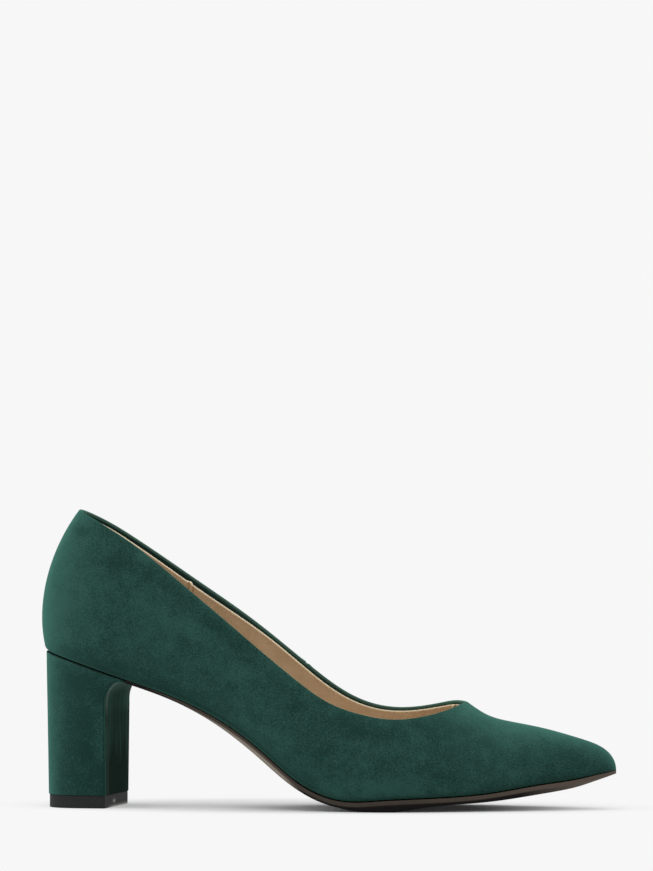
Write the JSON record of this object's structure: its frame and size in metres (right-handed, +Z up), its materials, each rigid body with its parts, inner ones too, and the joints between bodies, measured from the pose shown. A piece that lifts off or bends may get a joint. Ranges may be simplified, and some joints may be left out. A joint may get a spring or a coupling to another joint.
{
  "type": "suede court shoe",
  "caption": "Right-foot court shoe in dark green suede with a pointed toe, low-cut throat, covered block heel, leather lining and a thin sole; worn on the foot.",
  "frame": {"origin": "on the floor, under the middle of the shoe's bounding box", "axes": "+X from heel to toe, +Y to the inner side of the foot, +Z up"},
  "size_m": [0.2464, 0.0753, 0.1271],
  "materials": {
    "green_suede": "napped suede",
    "beige_lining_leather": "smooth satin",
    "dark_brown_sole": "matte",
    "black_top_piece": "satin"
  },
  "bodies": {
    "root": {"upper": "green_suede", "insole": "beige_lining_leather", "outsole": "dark_brown_sole", "heel": "green_suede", "heel_tip": "black_top_piece"}
  },
  "joints": []
}
